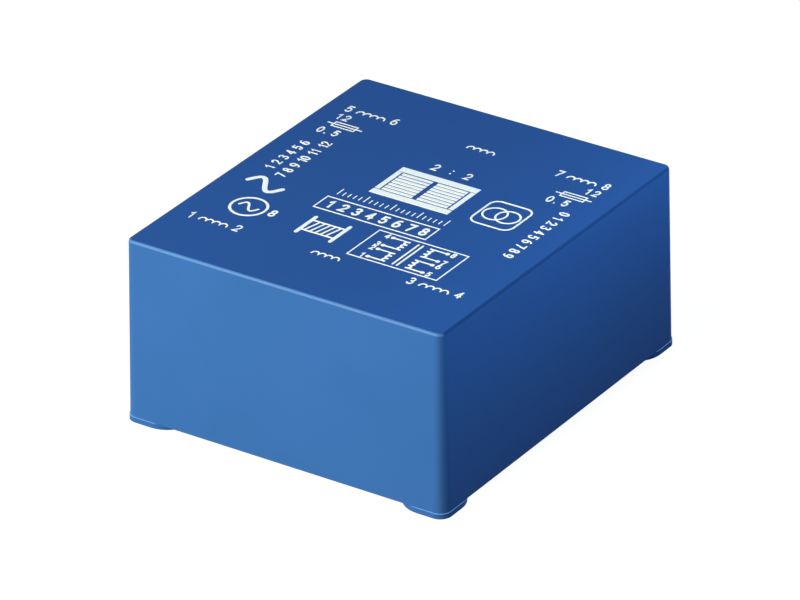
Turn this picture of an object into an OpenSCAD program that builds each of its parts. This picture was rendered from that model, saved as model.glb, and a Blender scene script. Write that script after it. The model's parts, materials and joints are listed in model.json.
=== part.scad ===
// Low-profile encapsulated transformer for a printed circuit board.
// Two wound bobbins stand side by side on the legs of a laminated UI core. The set is
// potted upside down in a one-piece moulded case, which is open towards the board.
//
// +X runs along the short side, +Y from the primary edge to the secondary edge, and +Z
// away from the board. z = 0 is the board's surface, where the four feet stand, and the
// origin is the centre of the pin pattern. Everything is in millimetres.
// The case is sized from what it holds: the core sheets and the walls drive the rest.

/* [Core] */
// Width of a core leg, from which the whole UI sheet is drawn
leg_w = 13; // [12.5:0.1:14]
// Pitch of the stacked core sheets
sheet_pitch = 0.5; // [0.35:0.05:0.65]
// Number of core sheets
sheet_count = 27; // [15:1:40]
// Varnish gap between two sheets
varnish_gap = 0.02; // [0.01:0.01:0.05]
// Gap where an I sheet butts against the legs of its U sheet
butt_gap = 0.05; // [0.02:0.01:0.2]

/* [Bobbins] */
// Play between a core leg and the tube of its bobbin
leg_play = 0.15; // [0.05:0.05:0.4]
// Wall of the bobbin tube
tube_wall = 0.9; // [0.5:0.1:2]
// Rounding of the tube's outer corners
tube_corner_r = 0.5; // [0.2:0.1:0.9]
// Thickness of each of the three flanges
flange_t = 1; // [0.6:0.1:2]
// Rounding of the flange corners
flange_corner_r = 1.8; // [0.5:0.1:4]
// Height of the flanges over the taped winding
flange_lip = 0.25; // [0.1:0.05:0.8]
// Gap between the two bobbins in the core window
coil_gap = 0.3; // [0.1:0.1:1.5]
// Play between the bobbin ends and the core yokes
yoke_play = 0.3; // [0.1:0.05:0.8]
// Height of the bobbins' underside over the board
bobbin_z = 4; // [3.6:0.1:8]

/* [Pin rails] */
// Distance of a rail's ends in from the edges of the flanges
rail_inset = 1.65; // [1.2:0.05:3]
// Moulding round the outermost pin at the end of a rail
rail_margin = 1.7; // [1.6:0.05:2]
// Distance of a pin row beyond the ends of the bobbins
pin_reach = 3.3; // [2.6:0.1:4]
// Play between a pin rail and the core yoke above it, and the posts beside it
rail_play = 0.35; // [0.1:0.05:1]
// Moulding left over the closed end of a pin hole
rail_cap = 0.8; // [0.4:0.1:1.5]
// Play on each side of a lead in its groove, and round the turns tied to a pin
wire_play = 0.25; // [0.1:0.05:0.35]

/* [Windings] */
// Diameter of the primary wire
primary_wire_d = 0.28; // [0.2:0.02:0.5]
// Diameter of the secondary wire
secondary_wire_d = 0.5; // [0.3:0.02:0.6]
// Thickness of the closing tape over each winding
tape_t = 0.15; // [0.05:0.05:0.4]
// Turns of the winding that lie over a lead where it comes out
lead_cover = 0.1; // [0.05:0.05:0.4]
// Height of the stack of turns that ties a lead to its pin
tie_h = 2.2; // [1.8:0.1:2.4]
// Height of the cone of solder under each tied lead
solder_h = 0.9; // [0.3:0.1:1.2]

/* [Pins] */
// Diameter of the end of a pin, which goes through the board
pin_d = 1; // [0.6:0.05:1.2]
// Diameter of the shank of a pin, which the bobbin holds
shank_d = 1.4; // [1.2:0.05:1.5]
// Distance between the two pins of a rail
pin_pitch = 5; // [3.5:0.1:9]
// Length of the pins below the board's surface
pin_below = 3.5; // [2:0.1:6]
// Length of the tapered tip of a pin
pin_tip = 0.3; // [0.1:0.05:1]
// How far the shank stands out of the resin
shank_out = 0.4; // [0.2:0.05:0.8]
// Height of the bevel from the shank to the end of a pin
shoulder_bevel = 0.15; // [0.05:0.05:0.3]

/* [Case] */
// Wall at the rim
wall = 1.2; // [0.9:0.1:1.7]
// Thickness of the top
roof = 1.2; // [0.6:0.1:3]
// Resin between the core ends and the case at the rim
core_gap = 0.3; // [0.25:0.05:2]
// Resin between the coils and the case at the rim
side_gap = 2.85; // [2:0.05:4]
// Resin between the coils and the top
top_gap = 0.5; // [0.3:0.05:3]
// Rounding of the upright edges at the rim
case_corner_r = 1.9; // [1.8:0.1:3]
// Rounding of the edge of the top face
top_edge_r = 0.5; // [0.2:0.1:0.9]
// Taper of the outer walls, in degrees a side
case_draft = 1.1; // [0.6:0.1:1.5]
// Taper of the inner walls, in degrees a side
cavity_draft = 0.35; // [0.1:0.05:0.5]
// Depth of the resin surface inside the rim
resin_recess = 0.5; // [0.1:0.1:1]

/* [Locating ribs] */
// Thickness of the ribs that centre the coils in the case
rib_t = 1.2; // [0.8:0.1:2.5]
// Play between a rib and the flange that it faces
rib_play = 0.15; // [0.05:0.05:0.25]
// Height over the rim at which the ribs begin
rib_rise = 8; // [3:0.5:20]
// How far the ribs run in over the coils, under the top
rib_reach = 16; // [6:0.5:24]

/* [Feet] */
// Height of the rim over the board
standoff = 0.9; // [0.4:0.1:1.5]
// Play between the corner posts and the core
post_play = 0.6; // [0.3:0.1:1.5]
// How far a foot stands out from the wall
foot_proud = 0.15; // [0.05:0.05:0.4]
// Pilot hole for a self-tapping screw in each foot
pilot_d = 2.5; // [1.8:0.1:4]
// Depth of the pilot holes
pilot_depth = 10; // [5:0.5:20]

/* [Hidden] */
$fn = 64;
// Hairline between pieces that seat on each other
fit_gap = 0.02;
// Overshoot of cutting shapes
cut = 1;
// Flats round a rounded upper edge
edge_steps = 6;

// Core: a U sheet is 3 x 4 legs, an I sheet is 3 x 1, and together they are 3 x 5
core_x = 3 * leg_w;
core_y = 5 * leg_w;
window_y = 3 * leg_w;
stack_h = sheet_count * sheet_pitch;

// Bobbins, each drawn about its own leg
tube_x = leg_w + 2 * (leg_play + tube_wall);
tube_z = stack_h + 2 * (leg_play + tube_wall);
flange_x = 2 * leg_w - coil_gap;
flange_z = tube_z + flange_x - tube_x;
bobbin_y = window_y - 2 * yoke_play;
flange_ys = [for (i = [-1 : 1]) i * (bobbin_y - flange_t) / 2];
chamber_y = (bobbin_y - 3 * flange_t) / 2;
chamber_mid_y = (flange_t + chamber_y) / 2;
core_z = bobbin_z + flange_z / 2;

// Windings, as depths over the tube
winding_in = fit_gap;
winding_out = (flange_x - tube_x) / 2 - flange_lip - tape_t - fit_gap;
tape_in = winding_out + fit_gap;
tape_out = tape_in + tape_t;

// Pins
pin_r = pin_d / 2;
tip_r = 0.6 * pin_r;
shank_r = shank_d / 2;
outer_pin_x = leg_w + flange_x / 2 - rail_inset - rail_margin;
pin_xs = [outer_pin_x - pin_pitch, outer_pin_x];
pin_y = bobbin_y / 2 + pin_reach;

// A lead leaves the winding straight above its pin. There the winding's round corner has
// risen by corner_rise, and the lead stays inside it. lead_z is over the bobbin's underside.
winding_corner_r = tube_corner_r + winding_out;
past_corner = max(0, outer_pin_x - leg_w - tube_x / 2 + tube_corner_r);
corner_rise = winding_corner_r - sqrt(pow(winding_corner_r, 2) - pow(past_corner, 2));
lead_z = (flange_x - tube_x) / 2 - winding_out + corner_rise + lead_cover + secondary_wire_d / 2;

// Pin rails
groove_w = secondary_wire_d + 2 * wire_play;
groove_depth = lead_z + secondary_wire_d / 2 + wire_play;
pocket_r = shank_r + secondary_wire_d + wire_play;
rail_x = flange_x - 2 * rail_inset;
rail_h = (flange_z - stack_h) / 2 - rail_play;
pin_top_z = bobbin_z + rail_h - rail_cap;
tie_z = bobbin_z + groove_depth - fit_gap - tie_h;

// Case
rim_z = standoff;
case_x = 2 * (leg_w + flange_x / 2 + side_gap + wall);
case_y = core_y + 2 * (core_gap + wall);
cavity_z = bobbin_z + flange_z + top_gap;
case_z = cavity_z + roof;
resin_z = rim_z + resin_recess;
shoulder_z = resin_z - shank_out;
// What stands inside the case is rooted this far from the outside of its walls
root_inset = 0.75 * wall;

// Feet and posts fill the corner between the core and the walls. A post touches both walls,
// so its centre follows from its radius. It clears the core and the round end of a pin rail.
core_post_r = (case_x / 2 - core_x / 2 - post_play) / 2;
rail_end_x = case_x / 2 - outer_pin_x;
rail_end_y = case_y / 2 - pin_y;
rail_end_r = rail_margin + rail_play;
rail_end_sum = rail_end_x + rail_end_y + rail_end_r;
rail_post_r = rail_end_sum
    - sqrt(pow(rail_end_sum, 2) + pow(rail_end_r, 2) - pow(rail_end_x, 2) - pow(rail_end_y, 2));
post_r = min(core_post_r, rail_post_r);
foot_r = post_r + foot_proud;
foot_x = case_x / 2 - post_r;
foot_y = case_y / 2 - post_r;

// ---- shapes used by several pieces ----

module rounded_rect(size_x, size_y, r) {
    square([size_x - 2 * r, size_y], center = true);
    square([size_x, size_y - 2 * r], center = true);
    for (sx = [-1, 1], sy = [-1, 1])
        translate([sx * (size_x / 2 - r), sy * (size_y / 2 - r)]) circle(r);
}

module at_corners(x, y) {
    for (sx = [0, 1], sy = [0, 1]) mirror([sx, 0]) mirror([0, sy]) translate([x, y]) children();
}

// Upright section of one tapered side. out_x is the wall's place at the height ref_z, and
// edge_r rounds the upper edge in edge_steps flats.
module side_section(out_x, ref_z, z0, z1, draft, edge_r) {
    low = out_x + tan(draft) * (ref_z - z0);
    high = out_x + tan(draft) * (ref_z - z1);
    edge_x = high + edge_r * (tan(draft) - 1 / cos(draft));
    steps = edge_r > 0 ? edge_steps : 0;
    edge = [
        for (i = [0 : steps])
            let (a = steps > 0 ? draft + (90 - draft) * i / steps : 90)
                [edge_x + edge_r * cos(a), z1 - edge_r + edge_r * sin(a)]
    ];
    polygon(concat([[0, z0], [low, z0]], edge, [[0, z1]]));
}

// Block with tapered walls, rounded upright edges and an optional rounded upper edge.
// Its plan size and corner radius hold at the height ref_z. One section serves the four
// sides, where it runs straight, and the four corners, where it turns.
module tapered_block(size_x, size_y, corner_r, ref_z, z0, z1, draft, edge_r = 0) {
    mid_x = size_x / 2 - corner_r;
    mid_y = size_y / 2 - corner_r;
    translate([-mid_x, -mid_y, z0]) cube([2 * mid_x, 2 * mid_y, z1 - z0]);
    for (turn = [0, 180]) rotate(turn) {
        translate([mid_x, 0]) rotate([90, 0, 0]) linear_extrude(2 * mid_y, center = true)
            side_section(corner_r, ref_z, z0, z1, draft, edge_r);
        translate([0, mid_y]) rotate([90, 0, 90]) linear_extrude(2 * mid_x, center = true)
            side_section(corner_r, ref_z, z0, z1, draft, edge_r);
        translate([mid_x, mid_y]) rotate_extrude(angle = 90)
            side_section(corner_r, ref_z, z0, z1, draft, edge_r);
        translate([-mid_x, mid_y]) rotate(90) rotate_extrude(angle = 90)
            side_section(corner_r, ref_z, z0, z1, draft, edge_r);
    }
}

// ---- case ----

module cavity(z0) {
    tapered_block(case_x - 2 * wall, case_y - 2 * wall, case_corner_r - wall, rim_z,
        z0, cavity_z, cavity_draft);
}

// Square plan towards the case corner, from the screw hole to reach, with a round corner
module corner_plan(reach, corner_r) {
    square([reach - corner_r, reach]);
    square([reach, reach - corner_r]);
    translate([reach - corner_r, reach - corner_r]) circle(corner_r);
}

module foot_plan() {
    circle(foot_r);
    corner_plan(foot_r, case_corner_r + foot_proud);
}

module post_plan() {
    reach = post_r - root_inset;
    intersection() {
        circle(post_r);
        translate([-2 * post_r, -2 * post_r]) square(2 * post_r + reach);
    }
    corner_plan(reach, case_corner_r - root_inset);
}

// Posts that carry the feet, from the height z0 to the height z1
module corner_posts(z0, z1) {
    at_corners(foot_x, foot_y) translate([0, 0, z0]) linear_extrude(z1 - z0) post_plan();
}

// Ribs that face the edges of the bobbin flanges from the sides and from the top
module locating_ribs() {
    side_x = leg_w + flange_x / 2 + rib_play;
    root_x = case_x / 2 - root_inset;
    seat_z = bobbin_z + flange_z + rib_play;
    root_z = cavity_z + roof / 2;
    for (side = [0, 1], y = flange_ys) mirror([side, 0]) {
        translate([side_x, y - rib_t / 2, rim_z + rib_rise])
            cube([root_x - side_x, rib_t, root_z - rim_z - rib_rise]);
        translate([root_x - rib_reach, y - rib_t / 2, seat_z])
            cube([rib_reach, rib_t, root_z - seat_z]);
    }
}

module case() {
    color([0.18, 0.38, 0.67]) difference() {
        union() {
            difference() {
                tapered_block(case_x, case_y, case_corner_r, rim_z, rim_z, case_z,
                    case_draft, top_edge_r);
                cavity(rim_z - cut);
            }
            at_corners(foot_x, foot_y) linear_extrude(standoff) foot_plan();
            corner_posts(0, cavity_z + roof / 2);
            locating_ribs();
        }
        at_corners(foot_x, foot_y) translate([0, 0, -cut])
            cylinder(d = pilot_d, h = pilot_depth + cut);
    }
}

// ---- core ----

// Sheets lie alternately with the U's yoke at the -Y end and at the +Y end
module each_sheet() {
    for (i = [0 : sheet_count - 1])
        translate([0, 0, core_z - stack_h / 2 + i * sheet_pitch + varnish_gap / 2])
            rotate(180 * (i % 2)) linear_extrude(sheet_pitch - varnish_gap) children();
}

module u_laminations() {
    color([0.46, 0.47, 0.49]) each_sheet() difference() {
        translate([-core_x / 2, -core_y / 2]) square([core_x, core_y - leg_w - butt_gap]);
        translate([-leg_w / 2, -window_y / 2]) square([leg_w, window_y]);
    }
}

module i_laminations() {
    color([0.52, 0.53, 0.55]) each_sheet()
        translate([-core_x / 2, core_y / 2 - leg_w]) square([core_x, leg_w]);
}

// ---- bobbins ----

// Extrudes a shape drawn across a leg along that leg, from y = -length / 2 to length / 2
module along_leg(length) {
    rotate([90, 0, 0]) linear_extrude(length, center = true) children();
}

module flanges() {
    for (y = flange_ys)
        translate([0, y, 0]) along_leg(flange_t) rounded_rect(flange_x, flange_z, flange_corner_r);
}

// Rail under the core yoke at the +Y end. Its ends are round about the outermost pins.
module pin_rail() {
    root_y = bobbin_y / 2 - flange_t / 2;
    round_x = rail_x / 2 - rail_margin;
    translate([0, 0, -flange_z / 2]) linear_extrude(rail_h) {
        translate([-rail_x / 2, root_y]) square([rail_x, pin_y - root_y]);
        translate([-round_x, root_y]) square([2 * round_x, pin_y + rail_margin - root_y]);
        for (x = [-round_x, round_x]) translate([x, pin_y]) circle(rail_margin);
    }
}

// Wire groove from the chamber to a pin, with the pocket and the hole for that pin
module pin_seat(x) {
    groove_y = bobbin_y / 2 - flange_t - cut;
    translate([x, 0, -flange_z / 2 - cut]) {
        translate([-groove_w / 2, groove_y]) cube([groove_w, pin_y - groove_y, groove_depth + cut]);
        translate([0, pin_y]) cylinder(r = pocket_r, h = groove_depth + cut);
        translate([0, pin_y]) cylinder(r = shank_r + fit_gap, h = rail_h - rail_cap + fit_gap + cut);
    }
}

// Moulded bobbin about its own leg: three flanges, and a pin rail at each end
module bobbin() {
    difference() {
        union() {
            along_leg(bobbin_y) rounded_rect(tube_x, tube_z, tube_corner_r);
            flanges();
            for (end = [0, 1]) mirror([0, end]) pin_rail();
        }
        along_leg(bobbin_y + 2 * cut)
            square([leg_w + 2 * leg_play, stack_h + 2 * leg_play], center = true);
        for (end = [0, 1], x = pin_xs) mirror([0, end]) pin_seat(x - leg_w);
    }
}

// The same bobbin serves both legs, turned half round. side is -1 for left, 1 for right.
module on_leg(side) {
    translate([side * leg_w, 0, core_z]) rotate(side > 0 ? 0 : 180) children();
}

module left_bobbin() { color([0.12, 0.12, 0.13]) on_leg(-1) bobbin(); }
module right_bobbin() { color([0.12, 0.12, 0.13]) on_leg(1) bobbin(); }

// ---- windings ----

// Ring in the +Y chamber, between two depths over the tube
module wound_ring(depth_in, depth_out) {
    translate([0, chamber_mid_y, 0]) along_leg(chamber_y - 2 * fit_gap) difference() {
        rounded_rect(tube_x + 2 * depth_out, tube_z + 2 * depth_out, tube_corner_r + depth_out);
        rounded_rect(tube_x + 2 * depth_in, tube_z + 2 * depth_in, tube_corner_r + depth_in);
    }
}

// Turns that tie a lead to its pin, about the pin's axis
module tied_turns(wire_d) {
    turns = floor(tie_h / wire_d);
    pitch = (tie_h - wire_d) / (turns - 1);
    rotate_extrude() translate([shank_r + fit_gap, 0]) {
        square([wire_d / 2, tie_h]);
        for (i = [0 : turns - 1]) translate([wire_d / 2, wire_d / 2 + i * pitch]) circle(d = wire_d);
    }
}

// Winding in the +Y chamber of a bobbin, with its two ends led to the pins of that rail
module winding(wire_d) {
    wound_ring(winding_in, winding_out);
    for (x = pin_xs) {
        translate([x - leg_w, chamber_mid_y, lead_z - flange_z / 2]) rotate([-90, 0, 0])
            cylinder(d = wire_d, h = pin_y - shank_r - wire_d / 2 - chamber_mid_y);
        translate([x - leg_w, pin_y, tie_z - core_z]) tied_turns(wire_d);
    }
}

module tape() {
    wound_ring(tape_in, tape_out);
}

// The primary chambers lie towards -Y and the secondary chambers towards +Y
module primary_end(side) { on_leg(side) mirror([0, side > 0 ? 1 : 0]) children(); }
module secondary_end(side) { on_leg(side) mirror([0, side > 0 ? 0 : 1]) children(); }

module left_primary_winding() { color([0.72, 0.38, 0.18]) primary_end(-1) winding(primary_wire_d); }
module right_primary_winding() { color([0.72, 0.38, 0.18]) primary_end(1) winding(primary_wire_d); }
module left_secondary_winding() {
    color([0.78, 0.43, 0.22]) secondary_end(-1) winding(secondary_wire_d);
}
module right_secondary_winding() {
    color([0.78, 0.43, 0.22]) secondary_end(1) winding(secondary_wire_d);
}

module left_primary_tape() { color([0.9, 0.78, 0.3]) primary_end(-1) tape(); }
module right_primary_tape() { color([0.9, 0.78, 0.3]) primary_end(1) tape(); }
module left_secondary_tape() { color([0.9, 0.78, 0.3]) secondary_end(-1) tape(); }
module right_secondary_tape() { color([0.9, 0.78, 0.3]) secondary_end(1) tape(); }

// ---- pins ----

// Stepped pin: the end below the shoulder is thinner than the shank in the moulding
module pin(x, y) {
    color([0.8, 0.8, 0.78]) translate([x, y]) rotate_extrude() polygon([
        [0, -pin_below], [tip_r, -pin_below], [pin_r, pin_tip - pin_below], [pin_r, shoulder_z],
        [shank_r, shoulder_z + shoulder_bevel], [shank_r, pin_top_z], [0, pin_top_z]
    ]);
}

module primary_pin_1() { pin(-pin_xs[1], -pin_y); }
module primary_pin_2() { pin(-pin_xs[0], -pin_y); }
module primary_pin_3() { pin(pin_xs[0], -pin_y); }
module primary_pin_4() { pin(pin_xs[1], -pin_y); }
module secondary_pin_5() { pin(-pin_xs[1], pin_y); }
module secondary_pin_6() { pin(-pin_xs[0], pin_y); }
module secondary_pin_7() { pin(pin_xs[0], pin_y); }
module secondary_pin_8() { pin(pin_xs[1], pin_y); }

// Cones of solder round the pins of one row, each under its tied turns
module solder_joints(row_y, wire_d) {
    inner_r = shank_r + fit_gap;
    color([0.75, 0.76, 0.77]) for (side = [-1, 1], x = pin_xs)
        translate([side * x, row_y, tie_z]) rotate_extrude()
            polygon([[inner_r, -solder_h], [inner_r + wire_d, 0], [inner_r, 0]]);
}

module primary_solder_joints() { solder_joints(-pin_y, primary_wire_d); }
module secondary_solder_joints() { solder_joints(pin_y, secondary_wire_d); }

// ---- resin ----

module core_room() {
    translate([0, 0, core_z - stack_h / 2]) linear_extrude(stack_h) difference() {
        square([core_x, core_y], center = true);
        square([leg_w, window_y], center = true);
    }
}

module wound_bobbin_room() {
    along_leg(bobbin_y)
        rounded_rect(tube_x + 2 * tape_out, tube_z + 2 * tape_out, tube_corner_r + tape_out);
    flanges();
    for (end = [0, 1]) mirror([0, end]) pin_rail();
}

// Room for the tied leads under the rails, and for the pins below them
module pin_room() {
    for (x = pin_xs) at_corners(x, pin_y) {
        cylinder(r = shank_r + fit_gap, h = bobbin_z);
        translate([0, 0, tie_z - solder_h])
            cylinder(r = shank_r + secondary_wire_d + 2 * fit_gap, h = bobbin_z - tie_z + solder_h);
    }
}

// The resin fills the case round the core, the wound bobbins and the pins
module potting_resin() {
    color([0.16, 0.17, 0.19]) difference() {
        cavity(resin_z);
        corner_posts(0, cavity_z + cut);
        locating_ribs();
        core_room();
        for (side = [-1, 1]) on_leg(side) wound_bobbin_room();
        pin_room();
    }
}

case();
potting_resin();
u_laminations();
i_laminations();
left_bobbin();
right_bobbin();
left_primary_winding();
right_primary_winding();
left_secondary_winding();
right_secondary_winding();
left_primary_tape();
right_primary_tape();
left_secondary_tape();
right_secondary_tape();
primary_pin_1();
primary_pin_2();
primary_pin_3();
primary_pin_4();
secondary_pin_5();
secondary_pin_6();
secondary_pin_7();
secondary_pin_8();
primary_solder_joints();
secondary_solder_joints();
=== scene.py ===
# %% [markdown]
# # A potted transformer for a circuit board
#
# The object is a blue moulded case, about 60 x 68 x 31 mm. Inside it two wound bobbins sit on
# a laminated core, and dark resin fills the rest. From outside three things show: the satin
# plastic of the case, the white marks printed on its top, and underneath, the resin with
# eight tinned pins coming out of it.
#
# The solids are already made to size, so this lesson adds what makes them look real: light,
# materials, the printed marks, and the small curved edge where the resin wets the plastic.

import json

import bpy
import numpy as np
from mathutils import Matrix, Vector


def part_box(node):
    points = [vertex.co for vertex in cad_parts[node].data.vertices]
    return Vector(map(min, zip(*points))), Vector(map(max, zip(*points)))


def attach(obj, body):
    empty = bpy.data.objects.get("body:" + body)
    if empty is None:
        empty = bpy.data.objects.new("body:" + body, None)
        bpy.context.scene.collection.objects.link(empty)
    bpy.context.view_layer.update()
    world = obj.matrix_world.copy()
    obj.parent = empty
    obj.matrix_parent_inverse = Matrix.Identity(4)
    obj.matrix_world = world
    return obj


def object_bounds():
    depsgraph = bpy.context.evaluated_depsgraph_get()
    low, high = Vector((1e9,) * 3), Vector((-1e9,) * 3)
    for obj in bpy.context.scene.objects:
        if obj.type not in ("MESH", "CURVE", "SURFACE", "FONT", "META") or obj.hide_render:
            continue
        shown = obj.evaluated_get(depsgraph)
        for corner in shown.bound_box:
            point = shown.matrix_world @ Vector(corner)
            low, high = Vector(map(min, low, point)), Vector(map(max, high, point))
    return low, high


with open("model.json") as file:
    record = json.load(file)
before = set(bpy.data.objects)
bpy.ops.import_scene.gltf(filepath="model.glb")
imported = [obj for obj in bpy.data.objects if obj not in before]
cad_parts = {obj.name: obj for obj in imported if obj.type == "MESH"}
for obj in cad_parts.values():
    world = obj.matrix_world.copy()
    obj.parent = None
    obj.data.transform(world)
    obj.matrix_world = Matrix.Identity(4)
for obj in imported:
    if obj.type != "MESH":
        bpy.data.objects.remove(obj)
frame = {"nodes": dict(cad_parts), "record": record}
cad_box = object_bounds()
MM = 0.001


def in_mm(box):
    """The corners of a box in metres, as rounded millimetres to print."""
    return [[round(value / MM, 2) for value in corner] for corner in box]


print("solids:", len(frame["nodes"]), "box in mm:", in_mm(cad_box))

# %% [markdown]
# ## Camera
#
# The case is a box, and its edges stay nearly parallel only if it is seen from far away
# through a long lens. A camera could be moved by hand until the view is right, but it is
# easier to place by what it looks at: a target on the object, a compass angle, an elevation
# and a distance. The three axes of the camera follow from the two angles, and a small roll
# turns them about the line of sight.

# %% Look at the case from its front right corner
# The walls of the case end a little over the board, and only its feet touch it
RIM_HEIGHT = 0.9 * MM
COMPASS, ELEVATION, ROLL = np.radians([33.73, 28.21, -0.64])
# From the target, in metres
DISTANCE = 1.1074
LENS_MM, SENSOR_MM = 316, 36
SHIFT_X, SHIFT_Y = -0.0029, -0.0137

case_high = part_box("case")[1]
target = Vector((0, 0, (RIM_HEIGHT + case_high.z) / 2))
level = Vector((np.cos(COMPASS), np.sin(COMPASS), 0))
back = Vector((np.sin(COMPASS) * np.cos(ELEVATION),
               -np.cos(COMPASS) * np.cos(ELEVATION),
               np.sin(ELEVATION)))
upward = back.cross(level)
right = level * np.cos(ROLL) + upward * np.sin(ROLL)
up = upward * np.cos(ROLL) - level * np.sin(ROLL)

lens = bpy.data.cameras.new("camera")
lens.lens, lens.sensor_width = LENS_MM, SENSOR_MM
lens.shift_x, lens.shift_y = SHIFT_X, SHIFT_Y
lens.clip_start, lens.clip_end = 0.05, 20
camera = bpy.data.objects.new("camera", lens)
axes = Matrix((right, up, back)).transposed().to_4x4()
camera.matrix_world = Matrix.Translation(target + back * DISTANCE) @ axes
bpy.context.scene.collection.objects.link(camera)
bpy.context.scene.camera = camera
print("camera at mm", [round(v / MM) for v in camera.matrix_world.translation])

# %% [markdown]
# ## Two helpers for materials
#
# Colours are picked on a screen as sRGB hex values, but light adds up in linear numbers, so
# one function turns the first into the second. A material is a tree of nodes, and one small
# function adds a node: each input gets a value, or the output of another node to link to.

# %% Colour and node helpers
def linear(hex_colour):
    """The linear RGBA of an sRGB hex colour such as "2f62ab"."""
    srgb = np.array([int(hex_colour[i:i + 2], 16) for i in (0, 2, 4)]) / 255
    rgb = np.where(srgb <= 0.04045, srgb / 12.92, ((srgb + 0.055) / 1.055) ** 2.4)
    return (*[float(c) for c in rgb], 1.0)


def add_node(tree, kind, inputs=(), **settings):
    """Add a node of one kind, with its settings and its inputs, and return it."""
    node = tree.nodes.new(kind)
    for name, value in settings.items():
        setattr(node, name, value)
    for name, value in dict(inputs).items():
        if isinstance(value, bpy.types.NodeSocket):
            tree.links.new(value, node.inputs[name])
        else:
            node.inputs[name].default_value = value
    return node


print("linear value of 50% grey:", round(linear("808080")[0], 3))

# %% [markdown]
# ## Background
#
# The object is shown on plain white. A white world at full strength would also light it from
# all sides and wash out its shading, so two worlds are mixed. Rays from the camera, and rays
# that glossy or clear surfaces send on, meet white at a strength of 1. All other rays meet a
# much weaker ambient light.

# %% White surroundings with a weaker ambient light
AMBIENT_STRENGTH = 0.06


def seen_directly(tree):
    """1 where a ray comes from the camera, a reflection or clear glass, and 0 in soft light."""
    path = add_node(tree, "ShaderNodeLightPath")
    seen = path.outputs["Is Camera Ray"]
    for ray in ("Is Glossy Ray", "Is Transmission Ray"):
        seen = add_node(tree, "ShaderNodeMath", {0: seen, 1: path.outputs[ray]},
                        operation="MAXIMUM").outputs[0]
    return seen


world = bpy.data.worlds.new("white_room")
world.use_nodes = True
tree = world.node_tree
tree.nodes.clear()
ambient = add_node(tree, "ShaderNodeBackground", {
    "Color": linear("f2f6ff"), "Strength": AMBIENT_STRENGTH})
white = add_node(tree, "ShaderNodeBackground", {"Color": linear("ffffff"), "Strength": 1.0})
mix = add_node(tree, "ShaderNodeMixShader", {
    0: seen_directly(tree), 1: ambient.outputs[0], 2: white.outputs[0]})
add_node(tree, "ShaderNodeOutputWorld", {"Surface": mix.outputs[0]})
bpy.context.scene.world = world
bpy.context.scene.view_settings.view_transform = "Standard"
print("ambient light at", AMBIENT_STRENGTH, "of the white that shows")

# %% [markdown]
# ## Table
#
# The transformer stands on a sheet of white paper. A sheet that only scatters light would
# turn grey away from the lamps, and one that only glows would lose the object's shadow. So it
# does both: a diffuse grey takes the shadow, and a glow, which only the camera and
# reflections see, lifts it to white where nothing shades it. From underneath the sheet is
# clear, so the pins and the resin can be looked at too.

# %% White sheet that takes a shadow
# Half the width of the sheet in metres, and the strength of its glow
FLOOR_HALF, FLOOR_GLOW = 3.0, 0.95

floor_z = cad_box[0][2]
corners = FLOOR_HALF * np.array([[-1, -1], [1, -1], [1, 1], [-1, 1]])
mesh = bpy.data.meshes.new("table")
mesh.from_pydata([(x, y, floor_z) for x, y in corners], [], [(0, 1, 2, 3)])
table = bpy.data.objects.new("table", mesh)
bpy.context.scene.collection.objects.link(table)

paper = bpy.data.materials.new("white_paper_sheet")
paper.use_nodes = True
tree = paper.node_tree
tree.nodes.clear()
glow_strength = add_node(tree, "ShaderNodeMath", {0: seen_directly(tree), 1: FLOOR_GLOW},
                         operation="MULTIPLY")
glow = add_node(tree, "ShaderNodeEmission", {
    "Color": linear("ffffff"), "Strength": glow_strength.outputs[0]})
matte = add_node(tree, "ShaderNodeBsdfDiffuse", {"Color": linear("666666")})
both = add_node(tree, "ShaderNodeAddShader", {0: matte.outputs[0], 1: glow.outputs[0]})
clear = add_node(tree, "ShaderNodeBsdfTransparent")
underneath = add_node(tree, "ShaderNodeNewGeometry").outputs["Backfacing"]
top_only = add_node(tree, "ShaderNodeMixShader", {
    0: underneath, 1: both.outputs[0], 2: clear.outputs[0]})
add_node(tree, "ShaderNodeOutputMaterial", {"Surface": top_only.outputs[0]})
mesh.materials.append(paper)
print("table at z mm", round(floor_z / MM, 2))

# %% [markdown]
# ## Studio light
#
# A box reads as solid when each of its faces has its own brightness, and large lamps keep
# the steps between them soft. Two warm lamps stand low before the primary side and light it
# most: the larger one from the left, and one straight on, which carries the light round the
# front corner. A cool one, high on the left, lights the top, and a weak one keeps the
# secondary side from going black. The right side stays in soft shade, and gets its light from
# a narrow strip that stands close by and only just higher than the case. Light from so near
# falls off quickly, so the wall gets darker towards the table.

# %% Five soft lamps
WARM, COOL = (1.0, 0.70, 0.40), (0.60, 0.88, 1.0)
COOL_SHADE, NEARLY_WHITE = (0.68, 0.94, 1.0), (0.90, 0.96, 1.0)


def soft_lamp(name, offset_mm, size_mm, watts, colour):
    """A lamp at an offset from the middle of the object, turned to face it."""
    lamp = bpy.data.lights.new(name, "AREA")
    lamp.shape, lamp.size, lamp.size_y = "RECTANGLE", size_mm[0] * MM, size_mm[1] * MM
    lamp.energy, lamp.color = watts, colour
    holder = bpy.data.objects.new(name, lamp)
    aim = Vector(offset_mm) * MM
    holder.location = target + aim
    holder.rotation_euler = aim.to_track_quat("Z", "Y").to_euler()
    bpy.context.scene.collection.objects.link(holder)
    print(name, "at", round(aim.length / MM), "mm")


soft_lamp("key_lamp", (-170, -300, 60), (200, 200), 2.3, WARM)
soft_lamp("top_lamp", (-240, -230, 360), (200, 200), 1.78, COOL)
soft_lamp("front_lamp", (15, -335, 60), (120, 200), 1.3, WARM)
soft_lamp("side_strip", (60, 11, 32), (170, 20), 0.036, COOL_SHADE)
soft_lamp("back_fill", (160, 420, 60), (200, 200), 0.4, NEARLY_WHITE)

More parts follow.
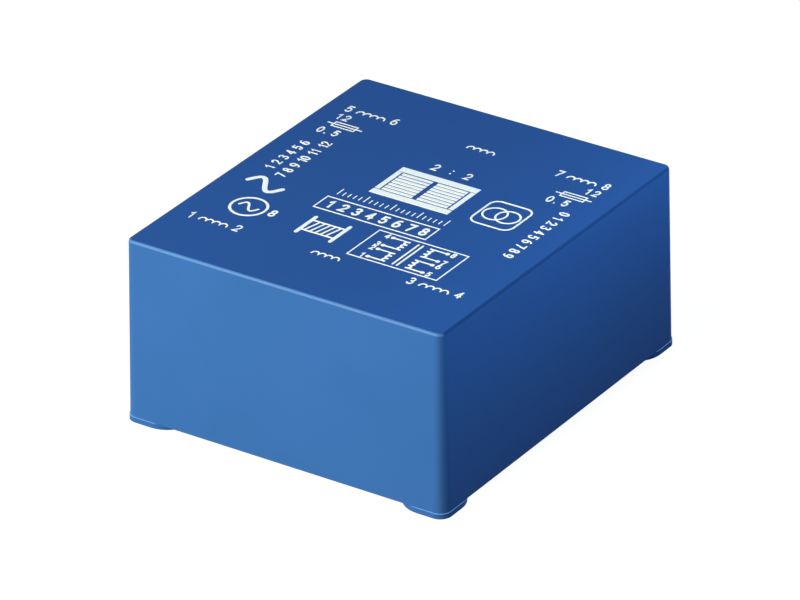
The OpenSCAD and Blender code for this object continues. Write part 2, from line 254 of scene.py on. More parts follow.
# %% [markdown]
# ## Patterns, and what they drive
#
# A real surface varies in colour, gloss and height, and often all three follow one pattern,
# such as a grain or a row of ridges. An image could carry the pattern, but noise on Object
# coordinates needs no file, and its scale is a real size in millimetres. So each finish is
# built from the same few steps: make a pattern, and let it drive the shader. A mask does the
# rest: it is a number from 0 to 1 that picks out a region, such as an edge.

# %% Material, grain, mask and drive
def new_material(name, **constants):
    """A material with one Principled shader, whose constants are set on its own sockets."""
    material = bpy.data.materials.new(name)
    material.use_nodes = True
    shader = material.node_tree.nodes["Principled BSDF"]
    for socket, value in constants.items():
        shader.inputs[socket.replace("_", " ")].default_value = value
    print("material:", name)
    return material, material.node_tree, shader


def grain(tree, size_mm, detail=2.0, stretch=(1, 1, 1)):
    """Noise on Object coordinates whose grains are about size_mm wide, from about 0.3 to 0.7."""
    place = add_node(tree, "ShaderNodeTexCoord").outputs["Object"]
    stretched = add_node(tree, "ShaderNodeMapping", {"Vector": place, "Scale": stretch})
    noise = add_node(tree, "ShaderNodeTexNoise", {
        "Vector": stretched.outputs[0], "Scale": 1 / (size_mm * MM), "Detail": detail})
    return noise.outputs["Fac"]


def mask(tree, *ramps, strength=1.0):
    """A strength times ramps, each given as a value, where it is 0 and where it is 1."""
    product = strength
    for value, at_zero, at_one in ramps:
        ramp = add_node(tree, "ShaderNodeMapRange", {
            "Value": value, "From Min": at_zero, "From Max": at_one})
        product = add_node(tree, "ShaderNodeMath", {0: ramp.outputs[0], 1: product},
                           operation="MULTIPLY").outputs[0]
    return product


def drive(tree, shader, pattern, colours=None, roughness=None, dent_mm=None, spread=(0.3, 0.7)):
    """Let a pattern drive a shader's colour, its roughness and its height.

    As the pattern rises over its spread, the colour goes from the first hex value to the
    second, and the roughness from the first number to the second. The height is the pattern
    itself, times a depth in millimetres."""
    if colours:
        share = mask(tree, (pattern, *spread))
        tint = add_node(tree, "ShaderNodeMix", {
            "Factor": share, "A": linear(colours[0]), "B": linear(colours[1])}, data_type="RGBA")
        tree.links.new(tint.outputs["Result"], shader.inputs["Base Color"])
    if roughness:
        gloss = add_node(tree, "ShaderNodeMapRange", {
            "Value": pattern, "From Min": spread[0], "From Max": spread[1],
            "To Min": roughness[0], "To Max": roughness[1]})
        tree.links.new(gloss.outputs[0], shader.inputs["Roughness"])
    if dent_mm:
        bump = add_node(tree, "ShaderNodeBump", {"Height": pattern, "Distance": dent_mm * MM})
        tree.links.new(bump.outputs[0], shader.inputs["Normal"])


# %% [markdown]
# ## Case: moulded polyester
#
# The case is injection moulded from glass-filled polyester (PBT), coloured through. The mould
# is spark eroded, which leaves a fine satin grain, so highlights are wide and soft. Real
# grain is about 0.05 mm wide, too fine to show, so it is drawn at 0.35 mm and kept shallow.
# A second noise, 14 mm wide, shifts colour and gloss slightly, as uneven cooling in the mould
# does. The tiny pits of the grain shade each other, so the surface mirrors less than smooth
# plastic, and its specular level is far lower than the usual 0.5. Modelled pits would need
# millions of faces, so the grain is a bump.

# %% Satin plastic
case_plastic, tree, shader = new_material(
    "spark_eroded_blue_polyester", IOR=1.5, Specular_IOR_Level=0.02, Coat_Roughness=0.3)
drive(tree, shader, grain(tree, 14), colours=("224f95", "245199"), roughness=(0.40, 0.46))
drive(tree, shader, grain(tree, 0.35, detail=3), dent_mm=0.008)

# %% [markdown]
# ## Painted highlights and shade on the case's rims
#
# The part slides end to end through its packing tube, so the two short rims of its top are
# rubbed glossier, which a weak clear coat gives them. They are also painted a little paler, a
# painted highlight, and both draw a thin bright line. The long rims are painted darker, which
# is painted shade and shows as a thin dark line. The narrow ledge on top of each foot is
# painted palest, another painted highlight.
#
# These marks could be painted on by hand, but they follow the shape, so masks can find them
# from the way the surface faces. A face looks along one axis, and the largest part of its
# normal is 1. On a rounded edge it is less. A top rim also leans upwards, and along Y on the
# short sides or along X on the long ones.

# %% Rims and ledges: a rubbed coat, painted highlights and painted shade
# The largest part of the normal where a face ends, and where it is rounded enough to count as a
# rim
FLAT, ROUNDED = 0.995, 0.93
# A surface lower than the first height is on a foot, and one over the second is not
LEDGE_HIGH, OVER_LEDGE = 3 * MM, 4 * MM

place = add_node(tree, "ShaderNodeTexCoord").outputs
height = add_node(tree, "ShaderNodeSeparateXYZ", {0: place["Object"]}).outputs["Z"]
lift = add_node(tree, "ShaderNodeSeparateXYZ", {0: place["Normal"]}).outputs["Z"]
facing = add_node(tree, "ShaderNodeVectorMath", {0: place["Normal"]}, operation="ABSOLUTE")
facing = add_node(tree, "ShaderNodeSeparateXYZ", {0: facing.outputs[0]}).outputs
largest = facing["X"]
for axis in ("Y", "Z"):
    largest = add_node(tree, "ShaderNodeMath", {0: largest, 1: facing[axis]},
                       operation="MAXIMUM").outputs[0]

top_rim = (largest, FLAT, ROUNDED), (lift, 0, 0.3)
short_side, long_side = (facing["Y"], 0.1, 0.5), (facing["X"], 0.1, 0.5)
# Painted shade: the long rims of the top are coloured darker
long_rim_painted_shade = mask(tree, *top_rim, long_side, strength=0.8)
# Painted highlight: the short rims of the top are coloured paler
short_rim_painted_highlight = mask(tree, *top_rim, short_side, strength=0.4)
# Painted highlight: the ledges on the feet are coloured palest
ledge_painted_highlight = mask(tree, (height, OVER_LEDGE, LEDGE_HIGH), (lift, 0.1, 0.4))

colour = shader.inputs["Base Color"].links[0].from_socket
# Mix the painted shade and the painted highlights into the colour of the plastic
for share, tone in ((long_rim_painted_shade, "173a74"), (short_rim_painted_highlight, "5585bd"), (ledge_painted_highlight, "7eaee4")):
    colour = add_node(tree, "ShaderNodeMix", {"Factor": share, "A": colour, "B": linear(tone)},
                      data_type="RGBA").outputs["Result"]
tree.links.new(colour, shader.inputs["Base Color"])
rubbed = mask(tree, *top_rim, short_side, strength=0.06)
tree.links.new(rubbed, shader.inputs["Coat Weight"])
print("nodes in the case's material:", len(tree.nodes))

# %% [markdown]
# ## Ink: white pad print
#
# The marks are two-part ink, pressed on by a soft pad, and about 0.02 mm thick. It covers
# well, but the grain under it and specks of dust leave it slightly uneven, so its white is
# mottled at 0.4 mm. Ink dries duller than smooth plastic, with a wide, weak highlight.

# %% White ink
white_ink, tree, shader = new_material("pad_printed_white_ink", IOR=1.5, Specular_IOR_Level=0.2)
drive(tree, shader, grain(tree, 0.4, detail=3),
      colours=("e9f2fb", "f6fbff"), roughness=(0.5, 0.62), dent_mm=0.004)

# %% [markdown]
# ## Resin: cast polyurethane
#
# The resin is poured in upside down and levels itself, so underneath it shows a nearly flat,
# semi-glossy skin. It is filled with mineral powder, which specks it at 0.8 mm, and dyed
# dark. Slow swells of 9 mm come from shrinkage. Bubbles that rose and burst as it set left
# round pits of 1 to 2 mm, and the cells of a Voronoi texture give such pits their middles.

# %% Dark potting resin
PIT_SPACING = 4 * MM
# Radius of a pit's floor and of its edge, as shares of the spacing, and its depth
PIT_FLOOR, PIT_EDGE, PIT_DEPTH = 0.05, 0.2, 0.15

dark_resin, tree, shader = new_material("cast_dark_polyurethane", IOR=1.5)
swell = grain(tree, 9)
place = add_node(tree, "ShaderNodeTexCoord").outputs["Object"]
cells = add_node(tree, "ShaderNodeTexVoronoi", {"Vector": place, "Scale": 1 / PIT_SPACING})
pits = add_node(tree, "ShaderNodeMapRange", {
    "Value": cells.outputs["Distance"], "From Min": PIT_FLOOR, "From Max": PIT_EDGE,
    "To Max": PIT_DEPTH})
skin = add_node(tree, "ShaderNodeMath", {0: pits.outputs[0], 1: swell}, operation="ADD")
drive(tree, shader, grain(tree, 0.8, detail=4), colours=("26282b", "323438"))
drive(tree, shader, swell, roughness=(0.24, 0.36))
drive(tree, shader, skin.outputs[0], dent_mm=0.25)

# %% [markdown]
# ## Core: varnished silicon steel sheets
#
# The core is a stack of 0.5 mm sheets, punched from electrical steel with a grey insulating
# coat, and the stack is dipped in varnish. Every sheet turned differently under the punch,
# so each gets its own shade: the height in the stack, cut into steps of one sheet, picks a
# random number. The punch also leaves fine upright streaks on the cut edges. The varnish is
# a thin clear coat over the metal.

# %% Sheet steel
SHEET = 0.5 * MM

core_steel, tree, shader = new_material(
    "varnished_silicon_steel", Metallic=1.0, Coat_Weight=0.35, Coat_Roughness=0.2)
place = add_node(tree, "ShaderNodeTexCoord").outputs["Object"]
height = add_node(tree, "ShaderNodeSeparateXYZ", {0: place}).outputs["Z"]
sheet = add_node(tree, "ShaderNodeMath", {0: height, 1: 1 / SHEET}, operation="MULTIPLY")
sheet = add_node(tree, "ShaderNodeMath", {0: sheet.outputs[0]}, operation="FLOOR")
shade = add_node(tree, "ShaderNodeTexWhiteNoise", {"W": sheet.outputs[0]}, noise_dimensions="1D")
drive(tree, shader, shade.outputs["Value"], colours=("8f9195", "a2a4a8"), spread=(0, 1))
drive(tree, shader, grain(tree, 0.5, stretch=(6, 6, 0.3)), roughness=(0.38, 0.55), dent_mm=0.02)

# %% [markdown]
# ## Bobbins: black glass-filled nylon
#
# The bobbins are moulded from nylon with short glass fibres, which leave faint streaks of
# 1 mm along the flow, and a surface a little rougher where fibres reach the skin. A noise
# that is stretched along the bobbin gives both.

# %% Black nylon
bobbin_nylon, tree, shader = new_material("moulded_black_glass_filled_nylon", IOR=1.53)
drive(tree, shader, grain(tree, 1.0, detail=4, stretch=(1, 0.25, 1)),
      colours=("232325", "2c2c2f"), roughness=(0.42, 0.58), dent_mm=0.02)

# %% [markdown]
# ## Windings: enamelled copper wire
#
# Magnet wire is bright copper under a thin clear enamel. A winding reads as rows of fine
# ridges, one for each turn. Modelled turns would need millions of faces, so a wave runs along
# the bobbin instead, with the diameter of the wire as its period: 0.28 mm for the primary and
# 0.5 mm for the secondary. It drives the height, and a darker tone in the valleys, where less
# light comes out. The enamel is a smooth clear coat.

# %% Two gauges of wire
def enamelled_copper(name, wire_mm, valley, crown):
    """Copper with one ridge for every turn of wire: a sine along Y, from 0 to 1."""
    material, tree, shader = new_material(
        name, Metallic=1.0, Roughness=0.24, Coat_Weight=0.8, Coat_Roughness=0.08)
    place = add_node(tree, "ShaderNodeTexCoord").outputs["Object"]
    along = add_node(tree, "ShaderNodeSeparateXYZ", {0: place}).outputs["Y"]
    angle = add_node(tree, "ShaderNodeMath", {0: along, 1: 2 * np.pi / (wire_mm * MM)},
                     operation="MULTIPLY")
    wave = add_node(tree, "ShaderNodeMath", {0: angle.outputs[0]}, operation="SINE")
    ridge = mask(tree, (wave.outputs[0], -1, 1))
    drive(tree, shader, ridge, colours=(valley, crown), dent_mm=wire_mm / 4, spread=(0, 1))
    return material


primary_copper = enamelled_copper("enamelled_copper_028", 0.28, "8f4a2c", "c8774b")
secondary_copper = enamelled_copper("enamelled_copper_050", 0.50, "9a5431", "d08656")

# %% [markdown]
# ## Tape: yellow polyester film
#
# Each winding is closed with two or three turns of polyester film. The film is thin, glossy
# and tinted yellow, and its glue pulls it into shallow wrinkles, 3 mm apart along the bobbin.
# A noise that is stretched round the wrap gives them.

# %% Yellow film
yellow_film, tree, shader = new_material("yellow_polyester_film", IOR=1.64)
drive(tree, shader, grain(tree, 3, detail=3, stretch=(0.4, 1, 0.4)),
      colours=("d0a63c", "e2bb4f"), roughness=(0.16, 0.28), dent_mm=0.04)

# %% [markdown]
# ## Pins and solder: tin
#
# The pins are drawn wire with a bright tin coat, so fine streaks run along them. Solder that
# has cooled in the air is greyer and slightly grainy, because its crystals show. Both are
# metals, so their colour tints what they mirror, and the pattern mostly drives the gloss.

# %% Tin and solder
tinned_wire, tree, shader = new_material("bright_tinned_wire", Metallic=1.0)
drive(tree, shader, grain(tree, 0.15, detail=3, stretch=(1, 1, 0.08)),
      colours=("c6c6c2", "d6d6d3"), roughness=(0.22, 0.36), dent_mm=0.01)

solder, tree, shader = new_material("air_cooled_solder", Metallic=1.0)
drive(tree, shader, grain(tree, 0.25, detail=4),
      colours=("bcbfc1", "cdd0d1"), roughness=(0.3, 0.5), dent_mm=0.03)

# %% [markdown]
# ## Dress the solids
#
# The record says which finish each solid has. A material can go into a slot of the mesh or of
# the object. The object's slot is used here, so the mesh itself stays untouched.

# %% One finish for each material slot of the record
finishes = {
    "case": case_plastic, "resin": dark_resin, "core_sheet": core_steel, "bobbin": bobbin_nylon,
    "primary_wire": primary_copper, "secondary_wire": secondary_copper, "tape": yellow_film,
    "pin": tinned_wire, "solder": solder, "print": white_ink,
}
for part in frame["record"]["subparts"]:
    for slot in frame["nodes"][part["node"]].material_slots:
        slot.link = "OBJECT"
        slot.material = finishes[part["material_slot"]]

# %% [markdown]
# ## The resin's wetted edge
#
# Liquid resin creeps a little way up whatever it touches, and sets that way. So the surface
# doesn't meet the case in a sharp corner, but in a small hollow curve, about 0.35 mm high,
# which runs along the walls and round the four corner posts. A bevel can't make it, because
# resin and case are separate solids, so it is a piece of its own: a closed section, carried
# round the outline of the resin. The outline is worked out afresh for each distance from the
# wall, so the curve meets itself cleanly in the notches where a post leaves a straight wall.

# %% Outline of the resin at a distance from walls and posts
WET_HEIGHT = 0.35 * MM
# The feet are that much larger than the posts over them
FOOT_PROUD = 0.15 * MM

resin_low, resin_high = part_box("potting_resin")
screws = next(m for m in frame["record"]["mounts"] if m["name"] == "feet_screws")["dims"]
post_x, post_y = screws["spacing_x_mm"] / 2 * MM, screws["spacing_y_mm"] / 2 * MM
post_r = case_high.x - post_x - FOOT_PROUD


def resin_outline(inset, wall_points=12, post_points=40):
    """The closed outline at a distance from every wall and post, as points in the plane.

    One quarter goes up the right wall to where the circle round the post, grown by the
    inset, cuts it, then along that circle to the far wall, and along this to the middle.
    The other three quarters are its mirror images."""
    wall_x, wall_y, grown = resin_high.x - inset, resin_high.y - inset, post_r + inset
    leave_y = post_y - np.sqrt(grown ** 2 - (wall_x - post_x) ** 2)
    meet_x = post_x - np.sqrt(grown ** 2 - (wall_y - post_y) ** 2)
    first = np.arctan2(leave_y - post_y, wall_x - post_x)
    last = np.arctan2(wall_y - post_y, meet_x - post_x) - 2 * np.pi
    angle = np.linspace(first, last, post_points)
    up = np.stack([np.full(wall_points, wall_x), np.linspace(0, leave_y, wall_points)], 1)
    round_post = np.stack([post_x + grown * np.cos(angle), post_y + grown * np.sin(angle)], 1)
    across = np.stack([np.linspace(meet_x, 0, wall_points), np.full(wall_points, wall_y)], 1)
    right = np.concatenate([up[:-1], round_post, across[1:]])
    left = (right * [-1, 1])[::-1]
    right_below = (right * [1, -1])[::-1]
    return np.concatenate([right, left[1:], -right[1:], right_below[1:-1]])


print("outline points:", len(resin_outline(0)), "post radius mm", round(post_r / MM, 2))

# %% Hollow section, and a mesh from a closed grid
def hollow_section(size, steps=8, bury=0.01 * MM):
    """Distance from the wall and height over the resin, round a closed section.

    The open side is a quarter circle about the point that lies one size away from both wall
    and resin. The other two sides are buried a little way in the wall and in the resin."""
    angle = np.linspace(0, np.pi / 2, steps)
    away = np.concatenate([size * (1 - np.cos(angle)), [size, -bury, -bury]])
    rise = np.concatenate([size * (1 - np.sin(angle)), [-bury, -bury, size]])
    return away, rise


def closed_grid(rings):
    """Vertices and quads of a grid of points that closes on itself in both directions."""
    rows, columns = rings.shape[:2]
    index = np.arange(rows * columns).reshape(rows, columns)
    after = np.roll(index, -1, axis=0)
    quads = np.stack([index, after, np.roll(after, -1, axis=1), np.roll(index, -1, axis=1)], -1)
    return rings.reshape(-1, 3), quads.reshape(-1, 4)


print("corners of the section:", len(hollow_section(WET_HEIGHT)[0]))

# %% The wetted edge along walls and posts
def solid_piece(name, vertices, faces, slot):
    """A mesh object that rides on the part and takes its finish from a slot of the record."""
    mesh = bpy.data.meshes.new(name)
    mesh.from_pydata(vertices.tolist(), [], faces.tolist())
    mesh.validate()
    piece = bpy.data.objects.new(name, mesh)
    bpy.context.scene.collection.objects.link(piece)
    mesh.materials.append(finishes[slot])
    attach(piece, "root")
    print(name, len(mesh.vertices), "vertices,", len(mesh.polygons), "faces")


rings = []
for away, rise in zip(*hollow_section(WET_HEIGHT)):
    outline = resin_outline(away)
    rings.append(np.column_stack([outline, np.full(len(outline), resin_low.z - rise)]))
solid_piece("resin_wet_edge", *closed_grid(np.array(rings)), "resin")

# %% [markdown]
# ## Collars of resin round the pins
#
# The resin creeps up the pins too, a little less far than up the wall, because they are thin.
# Each pin gets the same hollow section, turned about its axis. All eight collars are one
# piece, since none of them is ever seen or moved alone.

# %% The same hollow curve round each pin
COLLAR_HEIGHT = 0.25 * MM


def pin_collar(pin, points=32):
    """The hollow section turned about the axis of a pin."""
    low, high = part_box(pin)
    axis, radius = (low + high) / 2, (high.x - low.x) / 2
    away, rise = hollow_section(COLLAR_HEIGHT)
    turn = np.linspace(0, -2 * np.pi, points, endpoint=False)
    reach = (radius + away)[:, None]
    level = np.broadcast_to((resin_low.z - rise)[:, None], (len(rise), points))
    rings = [axis.x + reach * np.cos(turn), axis.y + reach * np.sin(turn), level]
    return closed_grid(np.stack(rings, -1))


def join(parts):
    """Several pairs of vertices and faces as one pair, with the face numbers moved up."""
    starts = np.cumsum([0] + [len(vertices) for vertices, faces in parts[:-1]])
    return (np.concatenate([vertices for vertices, faces in parts]),
            np.concatenate([faces + start for (vertices, faces), start in zip(parts, starts)]))


pins = [part["node"] for part in frame["record"]["subparts"] if part["material_slot"] == "pin"]
solid_piece("resin_pin_collars", *join([pin_collar(pin) for pin in pins]), "resin")

# %% [markdown]
# ## Drawing with ink
#
# Every printed mark is made of strokes, as if drawn with a pen: a path in the plane, and a
# width. A font or an image could do it too, but strokes need no file, stay sharp at any
# distance, and are real geometry. Each stroke is a thin solid ribbon with bevelled sides.
# The two numbers of this surface are the place along the path and the place round the ribbon.

# %% A ribbon of ink along a path
INK_HEIGHT, PEN = 0.02, 0.3
ROUND_END = np.radians([15, 40, 65])
# The cosine of half the sharpest turn at which the sides of a stroke still follow its corner
SHARPEST = 0.6
# The ribbon's section from left to right: shares of half its width and of its height
RIBBON = np.array([[1, 0], [0.9, 1], [-0.9, 1], [-1, 0]])
TO_THE_LEFT = np.array([[0, 1], [-1, 0]])


def unit(vectors):
    """Vectors scaled to length one."""
    return vectors / np.linalg.norm(vectors, axis=-1, keepdims=True)


def stroke(path, pen=PEN, closed=False, square=False):
    """A thin solid ribbon along a path, all in millimetres.

    Its sides lie half a width from the path, along the bisector of each corner, and further
    out where the corner is sharp: half the width over the cosine of half the turn, which is
    held at its value for the sharpest corner. A round end is made of three more points, where
    the half width shrinks as the sine of an angle while the path runs on as its cosine."""
    path = np.asarray(path, float)
    half = np.full(len(path), pen / 2)
    if not closed and not square:
        first, last = unit(path[0] - path[1]), unit(path[-1] - path[-2])
        reach = pen / 2 * np.cos(ROUND_END)[:, None]
        path = np.concatenate([path[0] + first * reach, path, path[-1] + last * reach[::-1]])
        narrow = pen / 2 * np.sin(ROUND_END)
        half = np.concatenate([narrow, half, narrow[::-1]])
    step = unit(np.roll(path, -1, axis=0) - path)
    before = np.roll(step, 1, axis=0)
    if not closed:
        step[-1], before[0] = before[-1], step[0]
    across = unit(step + before) @ TO_THE_LEFT
    half = half / np.clip((across * (step @ TO_THE_LEFT)).sum(1), SHARPEST, 1)
    flat = path[:, None] + across[:, None] * (half[:, None] * RIBBON[:, 0])[..., None]
    points = np.dstack([flat, np.broadcast_to(RIBBON[:, 1] * INK_HEIGHT, flat.shape[:2])])
    index = np.arange(points.shape[0] * 4).reshape(-1, 4)
    after = np.roll(index, -1, axis=0)
    quads = np.stack([index, np.roll(index, -1, axis=1), np.roll(after, -1, axis=1), after], -1)
    if closed:
        return points.reshape(-1, 3), quads.reshape(-1, 4)
    ends = np.stack([index[0][::-1], index[-1]])
    return points.reshape(-1, 3), np.concatenate([quads[:-1].reshape(-1, 4), ends])


print("vertices of a straight stroke:", len(stroke([(0, 0), (1, 0)])[0]))

# %% [markdown]
# ## Digits
#
# The marks use plain digits only. Each digit is a few lines and arcs in a cell that is one
# unit wide and one high, which is then stretched, turned and moved to its place. A nine is
# a six turned half round.

# %% Paths of the ten digits
def arc(x, y, radius_x, radius_y, start, end, points=20):
    """Points of an elliptical arc between two angles in degrees."""
    angle = np.radians(np.linspace(start, end, points))
    return np.stack([x + radius_x * np.cos(angle), y + radius_y * np.sin(angle)], 1)


def loop(x, y, radius_x, radius_y, points=28):
    """Points of a whole ellipse, without the double one where it closes."""
    return arc(x, y, radius_x, radius_y, 0, 360, points + 1)[:-1]


# Each sign is a list of paths, each with whether it closes
SIX = [(loop(0.5, 0.31, 0.5, 0.31), True), (arc(0.66, 0.31, 0.66, 0.69, 178, 80), False)]
DIGITS = {
    "0": [(loop(0.5, 0.5, 0.5, 0.5), True)],
    "1": [([(0.2, 0.76), (0.65, 1), (0.65, 0)], False)],
    "2": [([*arc(0.5, 0.71, 0.48, 0.29, 165, -35), (0, 0), (1, 0)], False)],
    "3": [(arc(0.46, 0.76, 0.44, 0.24, 150, -90), False),
          (arc(0.46, 0.26, 0.52, 0.26, 90, -150), False)],
    "4": [([(0.74, 0), (0.74, 1)], False), ([(0.74, 1), (0, 0.3), (1, 0.3)], False)],
    "5": [([(0.92, 1), (0.16, 1), (0.08, 0.53)], False),
          (arc(0.47, 0.33, 0.5, 0.33, 142, -145), False)],
    "6": SIX,
    "7": [([(0, 1), (1, 1), (0.35, 0)], False)],
    "8": [(loop(0.5, 0.76, 0.42, 0.24), True), (loop(0.5, 0.26, 0.5, 0.26), True)],
    "9": [(1 - points, closed) for points, closed in SIX],
    ".": [([(0.2, 0), (0.2, 0.03)], False)],
    ":": [([(0.5, 0.15), (0.5, 0.18)], False), ([(0.5, 0.72), (0.5, 0.75)], False)],
    " ": [],
}
print("signs that can be written:", " ".join(DIGITS))

# %% [markdown]
# ## Winding symbols and terminal numbers
#
# Next to each pair of pins the case says which winding ends there: a number, a row of bumps
# that stands for a coil, and the other number. These are the signs of circuit diagrams. Where
# strokes cross, two faces in one plane would flicker, so strokes that follow each other get
# different heights. All places are millimetres from the middle of the top.

# %% Write, draw and print
# The width of a digit and the rise of a coil's bump, as shares of the height and of the bump
DIGIT_WIDTH, BUMP_RISE = 0.56, 0.62


def place_at(points, x, y, turn):
    """Points turned by an angle in degrees, and then moved to a place."""
    cosine, sine = np.cos(np.radians(turn)), np.sin(np.radians(turn))
    return [x, y] + np.asarray(points) @ np.array([[cosine, sine], [-sine, cosine]])


def write(text, x, y, height=2.1, turn=0, pen=PEN, pitch=0.72):
    """Digits from a starting point, along a direction in degrees.

    Their width and their pitch are shares of their height."""
    strokes = []
    for place, digit in enumerate(text):
        for points, closed in DIGITS[digit]:
            cell = np.asarray(points) * [DIGIT_WIDTH * height - pen, height - pen] + pen / 2
            cell[:, 0] += place * pitch * height
            strokes.append(stroke(place_at(cell, x, y, turn), pen, closed))
    return strokes


def coil(x, y, bumps=4, bump=1.3, turn=0, pen=PEN):
    """A row of half ellipses from a starting point along a direction in degrees."""
    hump = arc(bump / 2, 0, bump / 2, bump * BUMP_RISE, 180, 0, 14)
    return [stroke(place_at(hump + [i * bump, 0], x, y, turn), pen) for i in range(bumps)]


def rectangle(left, right, low, high, pen=0.25):
    """The outline of a rectangle."""
    return stroke([(left, low), (right, low), (right, high), (left, high)], pen, closed=True)


def printed(name, strokes):
    """Lay strokes on the top of the case as one piece of print.

    Nine strokes in turn get heights a tenth of the ink's apart, and the tenth starts again."""
    rises = 1 + 0.1 * (np.arange(len(strokes)) % 9)
    raised = [(vertices * [1, 1, rise], faces) for (vertices, faces), rise in zip(strokes, rises)]
    vertices, faces = join(raised)
    solid_piece(name, vertices * MM + [0, 0, case_high.z], faces, "print")


print("strokes of a coil:", len(coil(0, 0)))

# %% Terminals and ratings
# Where the rows of terminals start, and how high the digits of the ratings are
LEFT_X, RIGHT_X = -25.4, 15.2
PRIMARY_Y, SECONDARY_Y = -22.1, 20.4
RATING = 2.0


def terminals(first, second, x, y):
    """A winding's two terminal numbers with its coil between them."""
    return write(first, x, y) + coil(x + 2.3, y + 0.45) + write(second, x + 8.7, y)


def fuse(x, y):
    """A fuse: a box with a line through it."""
    box = rectangle(x - 2.1, x + 2.1, y - 0.75, y + 0.75)
    return [box, stroke([(x - 3.2, y), (x + 3.2, y)], 0.25)]


primary = terminals("1", "2", LEFT_X - 0.5, PRIMARY_Y) + terminals("3", "4", RIGHT_X, PRIMARY_Y)
secondary = terminals("5", "6", LEFT_X, SECONDARY_Y + 1.1)
secondary += terminals("7", "8", RIGHT_X, SECONDARY_Y)
sides = coil(-2.4, -21.6, bump=1.25) + coil(-1.5, 21.2, bump=1.25)
printed("print_terminals", primary + secondary + sides)

left_rating = write("12", -25.3, 18.5, RATING) + fuse(-22.0, 16.9)
left_rating += write("0.5", -25.3, 13.1, RATING)
right_rating = write("12", 22.4, 17.6, RATING) + fuse(21.9, 15.9)
right_rating += write("0.5", 18.6, 12.3, RATING)
ratio = write("2 : 2", -2.4, 11.7)
printed("print_ratings", left_rating + right_rating + ratio)

# %% [markdown]
# ## Date table and scale
#
# Moulded parts often carry the numbers of the twelve months, for a date mark, and a short
# scale. Both are generic, and they fill the places where such a case has its small print.
# The ticks and numbers repeat, so short loops draw them.

# %% Months, a scale and a row of numbers
SMALL_PRINT = 1.9
SCALE_Y, TICK, LONG_TICK = -3.1, 1.0, 1.8
ROW_LEFT, ROW_RIGHT, ROW_LOW, ROW_HIGH = -10.8, 10.1, -8.6, -4.5

date_table = write("1 2 3 4 5 6", -23.3, -1.6, SMALL_PRINT, 90, pitch=0.52)
date_table += write("7 8 9 10 11 12", -20.2, -3.0, SMALL_PRINT, 90, pitch=0.52)
counting = write("0123456789", 22.9, 10.6, SMALL_PRINT, -90, pitch=0.95)
scale = [stroke([(x, SCALE_Y), (x, SCALE_Y + (TICK if x % 5 else LONG_TICK))], 0.22)
         for x in range(-10, 11)]
row = [rectangle(ROW_LEFT, ROW_RIGHT, ROW_LOW, ROW_HIGH)]
row += write("12345678", ROW_LEFT + 1.2, ROW_LOW + 0.8, 2.5, pen=0.45, pitch=1.0)
printed("print_tables", date_table + counting + scale + row)

# %% [markdown]
# ## The core and its coils
#
# The white field in the middle shows what is inside, seen from above: the core as a broad
# outline, and the turns of the two coils as bars across its legs. A filled outline would do
# for the core, but bars with square ends make it with no new kind of shape.

# %% The core and its coils as a white field
FIELD_LEFT, FIELD_RIGHT = -6.3, 8.4
# Widths of the bars, and the length of one that stands for a turn
YOKE, LEG, TURN = 1.5, 0.9, 0.72
TURN_LENGTH = 5.7


def bar(x0, x1, y, pen):
    """A straight bar with square ends."""
    return stroke([(x0, y), (x1, y)], pen, square=True)


yokes = [bar(FIELD_LEFT, FIELD_RIGHT, y, YOKE) for y in (9.4, 0.95)]
legs = [stroke([(x, 1.9), (x, 8.5)], LEG, square=True)
        for x in (FIELD_LEFT + LEG / 2, FIELD_RIGHT - LEG / 2)]
turns = [bar(x, x + TURN_LENGTH, y, TURN) for x in (-5.1, 1.5) for y in np.linspace(2.3, 8.0, 7)]
printed("print_core_field", yokes + legs + turns)

# %% [markdown]
# ## The winding diagram
#
# In a box below the white field, a diagram shows how the four windings sit on the core: two
# upright lines for the core, and a coil with two numbered ends for each winding. One function
# draws a winding, and is told on which side of the core its leads run out.

# %% Winding diagram in its box
BOX_LEFT, BOX_RIGHT, BOX_LOW, BOX_HIGH = 2.4, 18.9, -18.9, -9.7
CORE_X, CORE_GAP = 10.65, 0.8
BUMPS, BUMP = 3, 0.95


def winding(side, y, numbers):
    """A coil that stands upright, with a lead from each end to a numbered dot.

    The side is -1 to the left of the core and 1 to the right. The coil is drawn upwards on
    the left and downwards on the right, so its bumps face away from the core."""
    x, top = CORE_X + side * 2.0, y + BUMPS * BUMP
    dot, number_x = x + side * 3.0, x + side * 4.1 - 0.35
    strokes = coil(x, y if side < 0 else top, BUMPS, BUMP, -90 * side, 0.4)
    for end, number in zip((y, top), numbers):
        strokes.append(stroke([(x, end), (dot, end)], 0.3))
        strokes.append(stroke([(dot, end), (dot + side * 0.05, end)], 0.75))
        strokes += write(number, number_x, end - 0.75, 1.5, pen=0.28)
    return strokes


box = [rectangle(BOX_LEFT, BOX_RIGHT, BOX_LOW, BOX_HIGH)]
core = [stroke([(x, BOX_LOW + 0.9), (x, BOX_HIGH - 0.9)], 0.35)
        for x in (CORE_X - CORE_GAP / 2, CORE_X + CORE_GAP / 2)]
left = winding(-1, BOX_LOW + 1.0, "12") + winding(-1, BOX_LOW + 5.3, "34")
right = winding(1, BOX_LOW + 1.0, "56") + winding(1, BOX_LOW + 5.3, "78")
printed("print_winding_diagram", box + core + left + right)

# %% [markdown]
# ## Circuit signs
#
# The rest are ordinary signs of circuit diagrams, in the places where such a case has its
# round and square marks: a bold wave, a source of alternating current, a bobbin, and two
# linked rings for a transformer in a rounded frame. Each is a path or two from a formula.

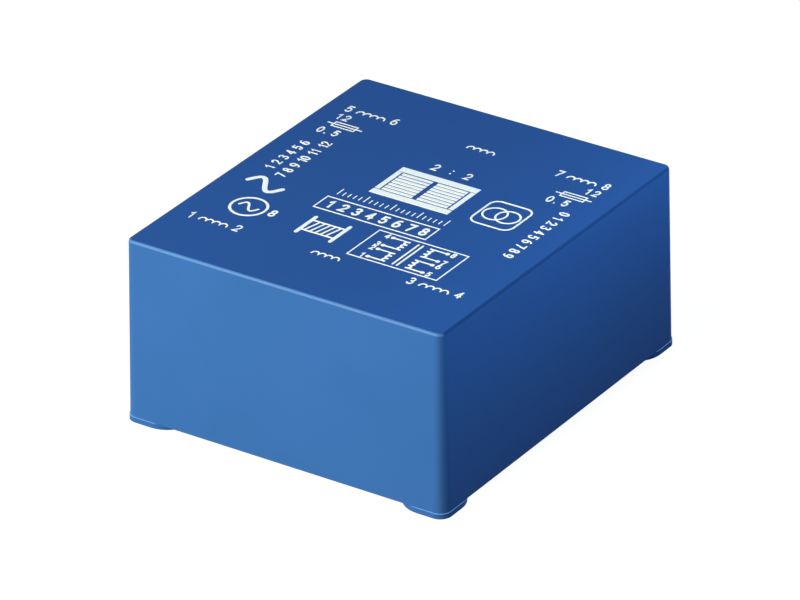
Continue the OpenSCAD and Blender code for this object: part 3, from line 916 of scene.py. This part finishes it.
# %% A wave, a source, a bobbin and linked rings
def wave(x, y, length, swing, pen):
    """One period of a sine wave, centred on a point."""
    along = np.linspace(-0.5, 0.5, 40)
    return stroke(np.stack([x + along * length, y + swing * np.sin(-2 * np.pi * along)], 1), pen)


def ring(x, y, radius, pen, points=40):
    """A circle about a point."""
    return stroke(loop(x, y, radius, radius, points), pen, closed=True)


def rounded_frame(x, y, width, height, radius, pen):
    """A closed rectangle with round corners, centred on a point."""
    path = [arc(x + side_x * (width / 2 - radius), y + side_y * (height / 2 - radius),
                radius, radius, start, start + 90, 8)
            for side_x, side_y, start in ((1, 1, 0), (-1, 1, 90), (-1, -1, 180), (1, -1, 270))]
    return stroke(np.concatenate(path), pen, closed=True)


SOURCE_X, SOURCE_Y = -19.3, -14.1
BOBBIN_LEFT, BOBBIN_RIGHT, BOBBIN_LOW, BOBBIN_HIGH = -8.4, -2.0, -17.0, -11.4
RINGS_X, RINGS_Y = 15.8, 4.45

supply = [wave(-21.4, -6.5, 6.6, 1.9, 0.85)]
source = [ring(SOURCE_X, SOURCE_Y, 3.0, 0.45, 48), wave(SOURCE_X, SOURCE_Y, 3.6, 1.1, 0.4)]
source += write("8", SOURCE_X + 3.9, SOURCE_Y - 1.0, 2.2, pen=0.4)
bobbin = [stroke([(x, BOBBIN_LOW), (x, BOBBIN_HIGH)], 0.7) for x in (BOBBIN_LEFT, BOBBIN_RIGHT)]
bobbin += [stroke([(BOBBIN_LEFT, y), (BOBBIN_RIGHT, y)], 0.35)
           for y in (BOBBIN_LOW + 1.1, BOBBIN_HIGH - 1.1)]
bobbin += [stroke([(x, BOBBIN_LOW + 1.3), (x + 0.7, BOBBIN_HIGH - 1.3)], 0.35)
           for x in BOBBIN_LEFT + 0.8 + np.arange(5)]
linked = [ring(RINGS_X + shift, RINGS_Y, 2.0, 0.35) for shift in (-1.2, 1.2)]
linked.append(rounded_frame(RINGS_X, RINGS_Y, 7.6, 8.0, 1.6, 0.35))
printed("print_circuit_signs", supply + source + bobbin + linked)
